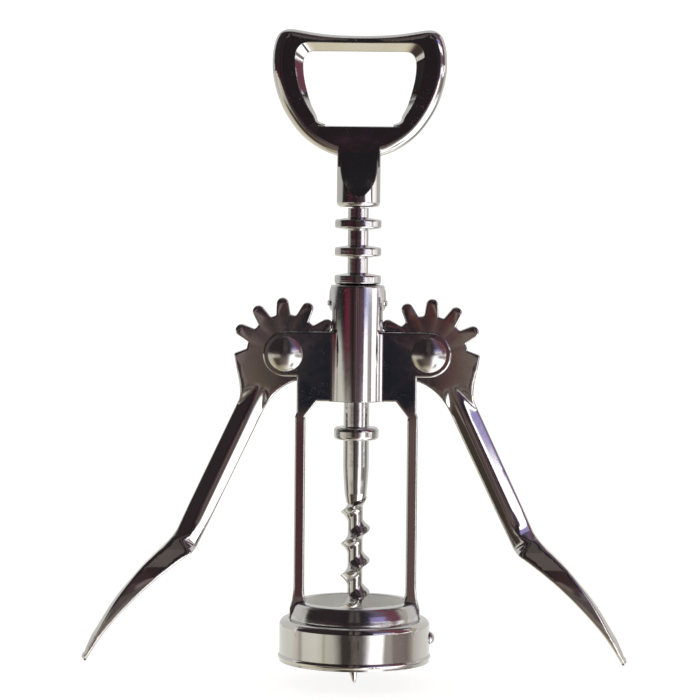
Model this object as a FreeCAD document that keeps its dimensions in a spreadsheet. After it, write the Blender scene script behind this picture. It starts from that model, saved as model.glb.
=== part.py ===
import FreeCAD, Part
import math
import os
import Sketcher
from FreeCAD import Vector, Placement, Rotation

# Wing corkscrew with two geared levers, an annular rack, a worm and a loop handle that is also a crown-cap opener.
# Frame of the part: millimetres, +Z up, X across the two levers, -Y the front.
# The origin is the centre of the plane of the bell's mouth, on the axis of the worm.

doc = FreeCAD.newDocument("wing_corkscrew")
sheet = doc.addObject("Spreadsheet::Sheet", "Dimensions")

CELLS = [
    # annular rack
    ("rack_pitch", 7.44, "distance between rings of the rack"),
    ("ring_top_z", 117.8, "height of the topmost ring, levers half open"),
    ("ring_count", 7, "rings on the rack"),
    ("ring_radius", 6.25, "outer radius of a ring"),
    ("ring_rim", 1.12, "half thickness of a ring at its rim"),
    ("ring_root", 1.72, "half thickness of a ring at the rod"),
    ("ring_round", 0.45, "rounding of the rim of a ring"),
    ("rod_radius", 2.78, "radius of the rack between rings"),
    ("rack_top", 122.05, "upper end of the rack sleeve"),
    ("rack_bottom", 70.9, "lower end of the rack sleeve"),
    ("stem_radius", 1.75, "radius of the stem that turns inside the rack"),
    ("stem_play", 0.06, "radial play of the stem in the rack"),
    # spindle
    ("stem_top", 135.5, "upper end of the stem, inside the handle"),
    ("shank_radius", 3.5, "radius of the lower shank"),
    ("shank_top", 70.6, "upper face of the lower shank"),
    ("taper_top", 52.5, "height where the lower shank starts to taper"),
    ("shank_end", 42.6, "lower end of the lower shank"),
    ("shank_end_radius", 2.5, "radius at the end of the taper"),
    ("collar_z", 61.5, "height of the stop collar"),
    ("collar_radius", 6.1, "outer radius of the stop collar"),
    ("collar_half", 1.75, "half thickness of the stop collar"),
    ("collar_round", 1.1, "rounding of the rim of the stop collar"),
    # worm
    ("worm_pitch", 8.64, "rise of the worm in one turn"),
    ("worm_core", 2.02, "radius of the core of the worm"),
    ("worm_crest", 3.95, "radius of the crest of the flight"),
    ("worm_top", 46.2, "height where the flight has faded out"),
    ("worm_tip", -6.3, "height of the point"),
    ("tang_top", 50.0, "upper end of the tang inside the shank"),
    ("tang_radius", 1.9, "radius of the tang"),
    # frame casting
    ("pivot_x", 19.2, "distance of a lever pivot from the axis"),
    ("pivot_z", 82.9, "height of the lever pivots"),
    ("cheek_face", 4.1, "front face of the cheek plates, from the middle plane"),
    ("cheek_gap", 5.0, "slot between the cheek plates"),
    ("cheek_top", 88.95, "upper edge of the cheek plates"),
    ("ear_radius", 6.05, "radius of the ear round a pivot"),
    ("web_side", 16.1, "outer edge of the web below an ear"),
    ("window_top", 70.2, "upper edge of the window"),
    ("window_half", 13.65, "half width of the window"),
    ("leg_outer", 16.5, "outer face of a leg"),
    ("slot_floor", 67.6, "floor of the slot, top of the solid legs"),
    ("barrel_radius", 7.27, "outer radius of the barrel"),
    ("barrel_bore", 6.33, "bore of the barrel"),
    ("barrel_top", 101.4, "upper face of the barrel"),
    ("barrel_bottom", 70.2, "lower face of the barrel"),
    ("barrel_round", 0.45, "rounding of the barrel's rims"),
    ("corner_fill", 2.5, "hollow radius of the metal that fills the corner of barrel and cheek"),
    ("tooth_slot_top", 94.6, "upper end of the slots for the teeth"),
    ("tooth_slot_bottom", 71.8, "lower end of the slots for the teeth"),
    ("lug_reach", 8.0, "reach of the lugs that close the tooth slots"),
    ("lug_axis", 5.6, "distance of the round lugs' own axes from the axis of the barrel"),
    ("lug_top", 101.0, "top of a lug"),
    ("ring_seat_radius", 15.2, "bore of the bottle seat"),
    ("mouth_radius", 13.5, "opening at the top of the bell"),
    ("bell_top", 16.1, "upper face of the bell"),
    ("lip_stop", 11.6, "ledge that stops the lip of the bottle"),
    ("bell_shoulder", 17.7, "radius of the bell at the top of the skirt"),
    ("bell_rim_radius", 16.35, "radius of the bell at its top face"),
    ("flange_radius", 19.35, "radius of the flange that centres the skirt"),
    ("flange_top", 10.85, "upper face of the flange"),
    ("flange_bottom", 9.3, "lower face of the flange"),
    ("bell_wall", 17.4, "outer radius of the hidden bell wall"),
    ("bell_bottom", 0.9, "lower face of the bell casting"),
    # skirt
    ("skirt_radius", 20.3, "outer radius of the skirt"),
    ("skirt_inner", 19.4, "inner radius of the skirt"),
    ("skirt_top", 11.45, "top of the skirt"),
    ("skirt_hole", 17.78, "hole in the top of the skirt"),
    ("skirt_round", 1.75, "rounding of the skirt's shoulder"),
    ("bead_radius", 0.85, "radius of the bead at the skirt's lower edge"),
    ("bead_z", 1.25, "height of the bead's centre"),
    ("rivet_z", 6.1, "height of the skirt rivet"),
    ("rivet_radius", 0.95, "radius of the skirt rivet's shank"),
    ("rivet_head", 1.75, "radius of the skirt rivet's head"),
    ("rivet_reach", 21.7, "reach of the skirt rivet's head from the axis"),
    ("boss_radius", 2.6, "radius of a boss behind the skirt rivet"),
    # pivot rivets
    ("pin_radius", 2.5, "radius of a pivot rivet"),
    ("pin_play", 0.06, "radial play of a lever on its rivet"),
    ("head_radius", 4.7, "radius of a domed rivet head"),
    ("head_rise", 2.3, "rise of the dome"),
    ("head_seat", 4.42, "radius of the dome where it meets the ear"),
    ("peen_radius", 4.0, "radius of the peened end"),
    ("peen_rise", 1.0, "rise of the peened end"),
    # levers
    ("gear_thick", 4.4, "thickness of the gear and the arm"),
    ("gear_root", 10.5, "radius of the root circle"),
    ("gear_tip", 15.0, "radius of the tips"),
    ("tooth_pitch", 29.4, "angle between teeth, degrees"),
    ("tooth_first", 5.62, "angle of the tooth in mesh, degrees"),
    ("tooth_base_half", 1.9, "half width of a tooth at the root"),
    ("tooth_end_half", 1.6, "half width of a tooth before its rounded end"),
    ("paddle_width", 13.0, "width of a lever's paddle"),
    ("arm_slope", 24.96, "angle of an arm from the vertical, degrees"),
    ("bevel_depth", 1.3, "depth of the arm's bevels at its edges"),
    # handle
    ("loop_thick", 5.7, "thickness of the loop"),
    ("loop_round", 2.4, "rounding of the loop's outer edges"),
    ("loop_bevel", 1.6, "depth of the bevel round the opening"),
    ("grip_shank_radius", 5.85, "radius of the handle's shank"),
    ("grip_shank_bottom", 122.3, "lower face of the handle's shank"),
    ("grip_shank_round", 1.2, "rounding of the shank's lower edge"),
]
for row, (alias, value, note) in enumerate(CELLS, 1):
    sheet.set("A%d" % row, note)
    sheet.set("B%d" % row, str(value))
    sheet.setAlias("B%d" % row, alias)
doc.recompute()


class Dim:
    """A length together with the formula on the sheet that gives it."""

    def __init__(self, value, text):
        self.value = float(value)
        self.text = text

    def _join(self, other, sign):
        other = as_dim(other)
        value = self.value + other.value if sign == "+" else self.value - other.value
        return Dim(value, "(%s) %s (%s)" % (self.text, sign, other.text))

    def __add__(self, other):
        return self._join(other, "+")

    def __sub__(self, other):
        return self._join(other, "-")

    def __mul__(self, factor):
        return Dim(self.value * factor, "(%s) * %.9g" % (self.text, factor))

    def __neg__(self):
        return self * -1.0

    def __float__(self):
        return self.value


def as_dim(thing):
    return thing if isinstance(thing, Dim) else Dim(thing, "%.9g" % float(thing))


class Sizes:
    pass


d = Sizes()
for alias, _, _ in CELLS:
    setattr(d, alias, Dim(sheet.get(alias), "Dimensions.%s" % alias))


def new_body(label):
    body = doc.addObject("PartDesign::Body", label)
    body.Label = label
    return body


def settle(feature):
    """Recomputes and stops at once if the feature failed."""
    doc.recompute()
    if "Invalid" in feature.State or "Error" in feature.State or feature.Shape.isNull():
        raise RuntimeError("%s failed: %s" % (feature.Name, feature.State))
    return feature


def plane_of(body, role):
    for feature in body.Origin.OriginFeatures:
        if feature.Role == role:
            return feature
    raise ValueError(role)


def add_sketch(body, name, role, offset=None):
    """A sketch on one of the body's own origin planes, moved along its normal by offset."""
    sk = body.newObject("Sketcher::SketchObject", name)
    sk.AttachmentSupport = [(plane_of(body, role), "")]
    sk.MapMode = "FlatFace"
    if offset is not None:
        offset = as_dim(offset)
        sk.AttachmentOffset = Placement(Vector(0, 0, offset.value), Rotation())
        sk.setExpression("AttachmentOffset.Base.z", offset.text)
    return sk


def fix_point(sk, geo, pos, x, y):
    """Ties one point of the sketch to the sheet."""
    for axis, (kind, coord) in enumerate((("DistanceX", x), ("DistanceY", y))):
        coord = as_dim(coord)
        if abs(coord.value) < 1e-9:
            sk.addConstraint(
                Sketcher.Constraint("PointOnObject", geo, pos, -2 if axis == 0 else -1)
            )
            continue
        index = sk.addConstraint(
            Sketcher.Constraint(kind, -1, 1, geo, pos, coord.value)
        )
        if "Dimensions" in coord.text:
            sk.setExpression("Constraints[%d]" % index, coord.text)


def polygon(sk, points):
    """A closed polygon whose corners are tied to the sheet."""
    first = sk.GeometryCount
    n = len(points)
    flat = [Vector(float(x), float(y), 0) for x, y in points]
    for i in range(n):
        sk.addGeometry(Part.LineSegment(flat[i], flat[(i + 1) % n]), False)
    for i in range(n):
        sk.addConstraint(
            Sketcher.Constraint("Coincident", first + i, 2, first + (i + 1) % n, 1)
        )
    for i, (x, y) in enumerate(points):
        fix_point(sk, first + i, 1, x, y)


def circle(sk, x, y, radius):
    """A circle whose centre and radius are tied to the sheet."""
    radius = as_dim(radius)
    geo = sk.addGeometry(
        Part.Circle(Vector(float(x), float(y), 0), Vector(0, 0, 1), radius.value), False
    )
    fix_point(sk, geo, 3, x, y)
    index = sk.addConstraint(Sketcher.Constraint("Radius", geo, radius.value))
    if "Dimensions" in radius.text:
        sk.setExpression("Constraints[%d]" % index, radius.text)


def pad(body, sk, length, name, midplane=True, reverse=False):
    length = as_dim(length)
    f = body.newObject("PartDesign::Pad", name)
    f.Profile = sk
    f.Length = length.value
    f.Midplane = midplane
    f.Reversed = reverse
    f.setExpression("Length", length.text)
    sk.Visibility = False
    return settle(f)


def pocket(body, sk, length, name, midplane=True, reverse=False):
    """A pocket that must take material away."""
    length = as_dim(length)
    before = body.Shape.Volume
    f = body.newObject("PartDesign::Pocket", name)
    f.Profile = sk
    f.Length = length.value
    f.Midplane = midplane
    f.Reversed = reverse
    f.setExpression("Length", length.text)
    sk.Visibility = False
    settle(f)
    if not f.Shape.Volume < before - 1e-3:
        raise RuntimeError("%s took nothing away" % name)
    return f


def revolve(body, sk, name, angle=360.0):
    f = body.newObject("PartDesign::Revolution", name)
    f.Profile = sk
    f.ReferenceAxis = (sk, ["V_Axis"])
    f.Angle = angle
    sk.Visibility = False
    return settle(f)


def groove(body, sk, name):
    """A groove all round that must take material away."""
    before = body.Shape.Volume
    f = body.newObject("PartDesign::Groove", name)
    f.Profile = sk
    f.ReferenceAxis = (sk, ["V_Axis"])
    f.Angle = 360.0
    sk.Visibility = False
    settle(f)
    if not f.Shape.Volume < before - 1e-3:
        raise RuntimeError("%s took nothing away" % name)
    return f


def edge_names(feature, wanted):
    return ["Edge%d" % (i + 1) for i, e in enumerate(feature.Shape.Edges) if wanted(e)]


def rim(z, radius, tol=0.02):
    """Picks circular edges round the Z axis."""

    def wanted(edge):
        curve = edge.Curve
        return (
            isinstance(curve, Part.Circle)
            and abs(curve.Radius - float(radius)) < tol
            and abs(curve.Center.z - float(z)) < tol
            and abs(curve.Axis.z) > 0.99
        )

    return wanted


def on_faces(half, zmin, zmax=1e9, reach=1e9, zlow=-1e9):
    """Picks edges that lie wholly in one of the two planes at y = +-half, between two heights and within a reach in X."""
    half = float(half)

    def wanted(edge):
        a, b = edge.ParameterRange
        spots = [edge.valueAt(a + (b - a) * k / 4.0) for k in range(5)]
        ys = [p.y for p in spots]
        return (
            max(ys) - min(ys) < 1e-3
            and abs(abs(ys[0]) - half) < 1e-3
            and min(p.z for p in spots) > zmin
            and max(p.z for p in spots) < zmax
            and max(p.z for p in spots) > zlow
            and max(abs(p.x) for p in spots) < reach
        )

    return wanted


def round_edges(body, base, names, radius, name):
    if not names:
        raise RuntimeError("%s found no edges" % name)
    radius = as_dim(radius)
    f = body.newObject("PartDesign::Fillet", name)
    f.Base = (base, names)
    f.Radius = radius.value
    f.setExpression("Radius", radius.text)
    return settle(f)


# ---------------------------------------------------------------- annular rack
# A sleeve with seven rings. It slides in the barrel, and the stem of the spindle turns inside it.
rack = new_body("annular_rack")
sk = add_sketch(rack, "rack_profile", "XZ_Plane")
bore = d.stem_radius + d.stem_play
outline = [(bore, d.rack_bottom), (d.rod_radius, d.rack_bottom)]
count = int(d.ring_count.value)
for k in range(count - 1, -1, -1):
    z = d.ring_top_z - d.rack_pitch * k
    outline += [
        (d.rod_radius, z - d.ring_root),
        (d.ring_radius, z - d.ring_rim),
        (d.ring_radius, z + d.ring_rim),
        (d.rod_radius, z + d.ring_root),
    ]
outline += [(d.rod_radius, d.rack_top), (bore, d.rack_top)]
polygon(sk, outline)
turned = revolve(rack, sk, "rack_turned")
names = edge_names(
    turned,
    lambda e: isinstance(e.Curve, Part.Circle)
    and abs(e.Curve.Radius - d.ring_radius.value) < 0.01,
)
round_edges(rack, turned, names, d.ring_round, "rack_rims")

# ---------------------------------------------------------------- spindle shank
# The stem runs up through the rack into the handle; the shank below it carries the collar and holds the worm's tang.
shank = new_body("spindle_shank")
sk = add_sketch(shank, "shank_profile", "XZ_Plane")
polygon(
    sk,
    [
        (0, d.tang_top),
        (d.tang_radius, d.tang_top),
        (d.tang_radius, d.shank_end),
        (d.shank_end_radius, d.shank_end),
        (d.shank_radius - 0.5, d.shank_end + 2.6),
        (d.shank_radius - 0.2, d.shank_end + 6.4),
        (d.shank_radius, d.taper_top),
        (d.shank_radius, d.shank_top),
        (d.stem_radius, d.shank_top),
        (d.stem_radius, d.stem_top),
        (0, d.stem_top),
    ],
)
revolve(shank, sk, "shank_turned")

# ---------------------------------------------------------------- stop collar
collar = new_body("stop_collar")
sk = add_sketch(collar, "collar_profile", "XZ_Plane")
polygon(
    sk,
    [
        (d.shank_radius, d.collar_z - d.collar_half),
        (d.collar_radius, d.collar_z - d.collar_half),
        (d.collar_radius, d.collar_z + d.collar_half),
        (d.shank_radius, d.collar_z + d.collar_half),
    ],
)
turned = revolve(collar, sk, "collar_turned")
names = edge_names(
    turned,
    lambda e: isinstance(e.Curve, Part.Circle)
    and abs(e.Curve.Radius - d.collar_radius.value) < 0.01,
)
round_edges(collar, turned, names, d.collar_round, "collar_rim")

# ---------------------------------------------------------------- worm
# One right-handed flight with a sharp crest and hollow flanks round a tapering core that ends in a point.
PITCH = d.worm_pitch.value
TOP = d.worm_top.value
TIP = d.worm_tip.value
CREST_LEFT_Z = 40.1  # the crest is at -X at this height


def worm_radii(z):
    """Core radius and crest radius at a height."""
    core = d.worm_core.value
    crest = d.worm_crest.value
    if z < 12.0:
        t = max(0.0, (z - TIP) / (12.0 - TIP))
        core = core * (0.10 + 0.90 * math.sqrt(t))
        crest = max(core * 1.25, crest * min(1.0, 0.14 + 0.98 * t**0.75))
    if z > TOP - 4.0:
        t = min(1.0, (TOP - z) / 4.0)
        crest = core * 1.02 + (crest - core * 1.02) * t
    return core, crest


def worm_section(z):
    """Closed wire of three edges: flank, back of the core, flank."""
    core, crest = worm_radii(z)
    turn = math.pi + 2 * math.pi * (z - CREST_LEFT_Z) / PITCH
    reach = math.radians(125.0)

    def at(angle):
        a = abs(angle)
        lift = (1.0 - a / reach) ** 2.3 if a < reach else 0.0
        r = core + (crest - core) * lift
        return Vector(r * math.cos(turn + angle), r * math.sin(turn + angle), z)

    steps = [0, 4, 9, 15, 23, 33, 45, 60, 80, 102, 125]
    left = Part.BSplineCurve()
    left.interpolate([at(math.radians(a)) for a in steps])
    back = Part.BSplineCurve()
    back.interpolate([at(math.radians(a)) for a in (125, 143, 161, 180, 199, 217, 235)])
    right = Part.BSplineCurve()
    right.interpolate([at(math.radians(a)) for a in [-s for s in reversed(steps)]])
    return Part.Wire([left.toShape(), back.toShape(), right.toShape()])


sections = []
n_sections = int(round((TOP - TIP) / PITCH * 14))
for i in range(n_sections + 1):
    sections.append(worm_section(TIP + (TOP - TIP) * i / n_sections))
flighted = Part.makeLoft(sections, True, False, False)
tang_solid = Part.makeCylinder(
    d.tang_radius.value, d.tang_top.value - d.shank_end.value + 1.5, Vector(0, 0, d.shank_end.value - 1.5)
)
# the top of the flight runs out over the lower end of the shank
low, end_r = d.shank_end.value, d.shank_end_radius.value
sleeve = Part.Face(
    Part.makePolygon(
        [
            Vector(0, 0, low),
            Vector(end_r, 0, low),
            Vector(d.shank_radius.value - 0.5, 0, low + 2.6),
            Vector(d.shank_radius.value - 0.2, 0, low + 6.4),
            Vector(0, 0, low + 6.4),
            Vector(0, 0, low),
        ]
    )
).revolve(Vector(0, 0, 0), Vector(0, 0, 1), 360)
worm_shape = flighted.cut(sleeve)
worm_shape = max(worm_shape.Solids, key=lambda piece: piece.Volume)
worm_shape = worm_shape.fuse(tang_solid).removeSplitter()
worm = doc.addObject("Part::Feature", "worm")
worm.Label = "worm"
worm.Shape = worm_shape.Solids[0] if len(worm_shape.Solids) == 1 else worm_shape

# ---------------------------------------------------------------- frame casting
# Barrel, front and back cheeks, two legs and the bell, in one casting.
frame = new_body("frame_casting")
sk = add_sketch(frame, "cage_outline", "XZ_Plane")


def segment(a, b):
    return Part.LineSegment(Vector(a[0], a[1], 0), Vector(b[0], b[1], 0))


def arc(a, m, b):
    return Part.Arc(Vector(a[0], a[1], 0), Vector(m[0], m[1], 0), Vector(b[0], b[1], 0))


def spline(points, start=None, end=None):
    curve = Part.BSplineCurve()
    knots = [Vector(x, y, 0) for x, y in points]
    if start is not None and end is not None:
        curve.interpolate(
            Points=knots,
            InitialTangent=Vector(start[0], start[1], 0),
            FinalTangent=Vector(end[0], end[1], 0),
        )
    else:
        curve.interpolate(knots)
    return curve


px, pz = d.pivot_x.value, d.pivot_z.value
er = d.ear_radius.value
lo, wh = d.leg_outer.value, d.window_half.value
ws, wt = d.web_side.value, d.window_top.value
ct = d.cheek_top.value
foot = d.bell_top.value - 4.4
half = []
half.append(segment((0, pz + er), (px, pz + er)))
half.append(arc((px, pz + er), (px + er, pz), (px, pz - er)))
half.append(segment((px, pz - er), (ws, pz - er)))
half.append(segment((ws, pz - er), (ws, 67.1)))
half.append(segment((ws, 67.1), (lo, 66.1)))
half.append(segment((lo, 66.1), (lo, 21.0)))
half.append(spline([(lo, 21.0), (lo + 0.25, 17.6), (lo + 0.95, 14.6)], (0, -1), (0.45, -0.9)))
half.append(segment((lo + 0.95, 14.6), (lo + 0.95, foot)))
half.append(segment((lo + 0.95, foot), (13.9, foot)))
half.append(segment((13.9, foot), (13.9, 15.6)))
half.append(segment((13.9, 15.6), (wh - 0.4, 16.05)))
half.append(spline([(wh - 0.4, 16.05), (wh - 0.08, 17.6), (wh, 20.0)], (0.1, 1), (0, 1)))
half.append(segment((wh, 20.0), (wh, 65.4)))
half.append(segment((wh, 65.4), (wh + 0.15, 66.0)))
half.append(segment((wh + 0.15, 66.0), (10.6, wt)))
half.append(segment((10.6, wt), (0, wt)))
mirror = FreeCAD.Matrix()
mirror.scale(-1, 1, 1)
for curve in half:
    sk.addGeometry(curve, False)
for curve in half:
    twin = curve.copy()
    twin.mirror(Vector(0, 0, 0), Vector(0, 1, 0))
    sk.addGeometry(twin, False)
cage = pad(frame, sk, d.cheek_face * 2, "cage")
outline_edges = edge_names(cage, on_faces(d.cheek_face, 16.9))
round_edges(frame, cage, outline_edges, 0.45, "cage_edges")

sk = add_sketch(frame, "barrel_profile", "XZ_Plane")
polygon(
    sk,
    [
        (0, d.barrel_bottom),
        (d.barrel_radius, d.barrel_bottom),
        (d.barrel_radius, d.barrel_top),
        (0, d.barrel_top),
    ],
)
barrel = revolve(frame, sk, "barrel")
names = edge_names(barrel, rim(d.barrel_top, d.barrel_radius))
round_edges(frame, barrel, names, d.barrel_round, "barrel_rim")

# the cast corners between the barrel and the faces of the cheeks are filled with a hollow round
sk = add_sketch(frame, "corner_outline", "XY_Plane", d.window_top)
br, cf, fill = d.barrel_radius.value, d.cheek_face.value, d.corner_fill.value
fx, fy = math.sqrt((br + fill) ** 2 - (cf + fill) ** 2), cf + fill
toward = math.atan2(fy, fx)
middle = (toward + math.pi / 2) / 2
for sx in (1, -1):
    for sy in (1, -1):
        start = (sx * (br - 0.04) * math.cos(toward), sy * (br - 0.04) * math.sin(toward))
        mid = (sx * (fx - fill * math.cos(middle)), sy * (fy - fill * math.sin(middle)))
        end = (sx * (fx + 0.03), sy * (cf - 0.03))
        inner = (sx * (fx + 0.03), sy * (cf - 1.1))
        root = (sx * (br - 1.47), sy * (cf - 1.1))
        for curve in (arc(start, mid, end), segment(end, inner), segment(inner, root), segment(root, start)):
            sk.addGeometry(curve, False)
pad(frame, sk, d.cheek_top - d.window_top - 0.45, "corner_fills", midplane=False)

# round lugs that close the tooth slots at the top
for side, which in ((1, "right"), (-1, "left")):
    sk = add_sketch(frame, which + "_lug_outline", "XZ_Plane")
    sk.AttachmentOffset = Placement(Vector(side * d.lug_axis.value, 0, 0), Rotation())
    sk.setExpression("AttachmentOffset.Base.x", (d.lug_axis * side).text)
    reach = d.lug_reach - d.lug_axis
    polygon(
        sk,
        [
            (0, d.tooth_slot_top),
            (reach - 0.6, d.tooth_slot_top + 0.3),
            (reach - 0.3, d.tooth_slot_top + 1.0),
            (reach + 0.1, d.tooth_slot_top + 1.4),
            (reach + 0.1, d.tooth_slot_top + 2.5),
            (reach - 0.35, d.tooth_slot_top + 2.9),
            (reach - 0.42, d.lug_top - 1.3),
            (reach - 0.62, d.lug_top - 0.6),
            (reach - 1.1, d.lug_top),
            (0, d.lug_top),
        ],
    )
    revolve(frame, sk, which + "_lug")

# the bell: a ring with a ledge that stops on the lip of the bottle, a flange that centres the skirt
sk = add_sketch(frame, "bell_profile", "XZ_Plane")
polygon(
    sk,
    [
        (d.mouth_radius, d.bell_top),
        (d.mouth_radius, d.lip_stop),
        (d.ring_seat_radius, d.lip_stop),
        (d.ring_seat_radius, d.bell_bottom),
        (d.bell_wall, d.bell_bottom),
        (d.bell_wall, d.flange_bottom),
        (d.flange_radius, d.flange_bottom),
        (d.flange_radius, d.flange_top),
        (d.bell_shoulder, d.flange_top),
        (d.bell_shoulder, d.bell_top - 4.3),
        (d.bell_shoulder - 0.12, d.bell_top - 3.3),
        (d.bell_shoulder - 0.5, d.bell_top - 2.0),
        (d.bell_shoulder - 1.0, d.bell_top - 0.8),
        (d.bell_rim_radius - 0.1, d.bell_top - 0.2),
        (d.bell_rim_radius - 0.9, d.bell_top),
    ],
)
bell = revolve(frame, sk, "bell")

# the boss behind the skirt's rivet
sk = add_sketch(frame, "boss_outline", "YZ_Plane")
circle(sk, 0, d.rivet_z, d.boss_radius)
pad(frame, sk, d.flange_radius, "boss", midplane=False)
sk = add_sketch(frame, "seat_outline", "XY_Plane", d.bell_bottom)
circle(sk, 0, 0, d.ring_seat_radius)
pocket(frame, sk, d.lip_stop - d.bell_bottom, "bottle_seat", midplane=False, reverse=True)
sk = add_sketch(frame, "mouth_outline", "XY_Plane", d.lip_stop)
circle(sk, 0, 0, d.mouth_radius)
pocket(frame, sk, 8.0, "mouth", midplane=False, reverse=True)

# slot between the cheeks, from the barrel outwards
sk = add_sketch(frame, "slot_outline", "XZ_Plane")
for side in (1, -1):
    polygon(
        sk,
        [
            (d.barrel_bore * side, d.tooth_slot_bottom),
            (d.barrel_radius * side, d.tooth_slot_bottom),
            (d.barrel_radius * side, d.slot_floor),
            (28.0 * side, d.slot_floor),
            (28.0 * side, d.tooth_slot_top),
            (d.barrel_bore * side, d.tooth_slot_top),
        ],
    )
pocket(frame, sk, d.cheek_gap, "cheek_slot")

# bore of the barrel, and the tooth slots through its wall
sk = add_sketch(frame, "bore_outline", "XY_Plane", d.barrel_bottom - 1.0)
circle(sk, 0, 0, d.barrel_bore)
pocket(frame, sk, 40.0, "barrel_bore", midplane=False, reverse=True)
sk = add_sketch(frame, "tooth_slot_outline", "XZ_Plane")
for side in (1, -1):
    polygon(
        sk,
        [
            (3.0 * side, d.tooth_slot_bottom),
            (9.5 * side, d.tooth_slot_bottom),
            (9.5 * side, d.tooth_slot_top),
            (3.0 * side, d.tooth_slot_top),
        ],
    )
pocket(frame, sk, d.cheek_gap, "tooth_slots")

# holes for the pivot rivets
sk = add_sketch(frame, "pivot_holes_outline", "XZ_Plane")
circle(sk, d.pivot_x, d.pivot_z, d.pin_radius)
circle(sk, -d.pivot_x, d.pivot_z, d.pin_radius)
pocket(frame, sk, 20.0, "pivot_holes")

# hole for the skirt's rivet
sk = add_sketch(frame, "rivet_holes_outline", "YZ_Plane")
circle(sk, 0, d.rivet_z, d.rivet_radius)
pocket(frame, sk, 30.0, "rivet_hole", midplane=False, reverse=True)

# ---------------------------------------------------------------- skirt
skirt = new_body("bell_skirt")
sk = add_sketch(skirt, "skirt_profile", "XZ_Plane")
polygon(
    sk,
    [
        (d.skirt_hole, d.flange_top + 0.05),
        (d.skirt_inner, d.flange_top + 0.05),
        (d.skirt_inner, 0),
        (d.skirt_radius, 0),
        (d.skirt_radius, d.skirt_top),
        (d.skirt_hole, d.skirt_top),
    ],
)
shell = revolve(skirt, sk, "skirt_shell")
shell = round_edges(
    skirt,
    shell,
    edge_names(shell, rim(d.skirt_top, d.skirt_radius)),
    d.skirt_round,
    "skirt_shoulder",
)
sk = add_sketch(skirt, "bead_profile", "XZ_Plane")
circle(sk, d.skirt_inner + d.bead_radius - 0.45, d.bead_z, d.bead_radius)
revolve(skirt, sk, "skirt_bead")
sk = add_sketch(skirt, "bead_trim", "XY_Plane", 0)
circle(sk, 0, 0, d.skirt_inner)
pocket(skirt, sk, d.flange_top, "bead_inside", midplane=False, reverse=True)
sk = add_sketch(skirt, "skirt_rivet_holes", "YZ_Plane")
circle(sk, 0, d.rivet_z, d.rivet_radius)
pocket(skirt, sk, 30.0, "skirt_side_hole", midplane=False, reverse=True)

# ---------------------------------------------------------------- skirt rivet
rivet_group = []
for side in (1,):
    inner = d.bell_wall - 1.2
    stem = doc.addObject("Part::Cylinder", "rivet_stem")
    stem.setExpression("Radius", d.rivet_radius.text)
    stem.setExpression("Height", (d.skirt_radius - inner).text)
    stem.Placement = Placement(
        Vector(side * float(inner), 0, d.rivet_z.value),
        Rotation(Vector(0, 1, 0), 90.0 * side),
    )
    cap = doc.addObject("Part::Sphere", "rivet_cap")
    # a spherical cap of radius R whose flat side is rivet_head wide
    rise = d.rivet_reach.value - d.skirt_radius.value
    ball = (d.rivet_head.value**2 + rise**2) / (2 * rise)
    cap.Radius = ball
    cap.Placement = Placement(
        Vector(side * (d.rivet_reach.value - ball), 0, d.rivet_z.value), Rotation()
    )
    block = doc.addObject("Part::Box", "rivet_block")
    block.Length, block.Width, block.Height = 6.0, 6.0, 6.0
    block.Placement = Placement(
        Vector(
            d.skirt_radius.value if side > 0 else -d.skirt_radius.value - 6.0,
            -3.0,
            d.rivet_z.value - 3.0,
        ),
        Rotation(),
    )
    head = doc.addObject("Part::Common", "rivet_head_piece")
    head.Base = cap
    head.Tool = block
    whole = doc.addObject("Part::MultiFuse", "skirt_rivet_piece")
    whole.Shapes = [stem, head]
    rivet_group.append(whole)
doc.recompute()
rivets = doc.addObject("Part::Compound", "skirt_rivet")
rivets.Label = "skirt_rivet"
rivets.Links = rivet_group
doc.recompute()

# ---------------------------------------------------------------- pivot rivets


def pivot_rivet(label, side):
    """Domed head in front, shaft through both ears and the gear, peened end at the back. Turned round its own Z axis, then laid along Y."""
    body = new_body(label)
    sk = add_sketch(body, label + "_profile", "XZ_Plane")
    face = d.cheek_face
    corners = [
        (0, -face - d.peen_rise),
        (d.peen_radius - 1.5, -face - d.peen_rise),
        (d.peen_radius - 0.3, -face - d.peen_rise * 0.55),
        (d.peen_radius, -face),
        (d.pin_radius, -face),
        (d.pin_radius, face),
        (d.head_seat, face),
        (d.head_radius, face + 0.35),
        (0, face + d.head_rise),
    ]
    flat = [(float(x), float(y)) for x, y in corners]
    (rx, ry), (_, top) = flat[-2:]
    cap = top - ry
    ball = (rx * rx + cap * cap) / (2 * cap)
    for a, b in zip(flat[:-2], flat[1:-1]):
        sk.addGeometry(segment(a, b), False)
    dome = sk.addGeometry(
        Part.ArcOfCircle(
            Part.Circle(Vector(0, top - ball, 0), Vector(0, 0, 1), ball),
            math.atan2(ry - top + ball, rx),
            math.pi / 2,
        ),
        False,
    )
    axis = sk.addGeometry(segment(flat[-1], flat[0]), False)
    for i in range(dome):
        sk.addConstraint(Sketcher.Constraint("Coincident", i, 2, i + 1, 1))
    sk.addConstraint(Sketcher.Constraint("Coincident", dome, 2, axis, 1))
    sk.addConstraint(Sketcher.Constraint("Coincident", axis, 2, 0, 1))
    sk.addConstraint(Sketcher.Constraint("PointOnObject", dome, 3, -2))
    for i, (x, y) in enumerate(corners):
        fix_point(sk, i if i < dome else (dome if i == dome else axis), 1, x, y)
    revolve(body, sk, label + "_turned")
    body.Placement = Placement(
        Vector(side * d.pivot_x.value, 0, d.pivot_z.value), Rotation(Vector(1, 0, 0), 90)
    )
    body.setExpression("Placement.Base.x", (d.pivot_x * side).text)
    body.setExpression("Placement.Base.z", d.pivot_z.text)
    return body


pivot_rivet("left_pivot_rivet", -1)
pivot_rivet("right_pivot_rivet", 1)

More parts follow.
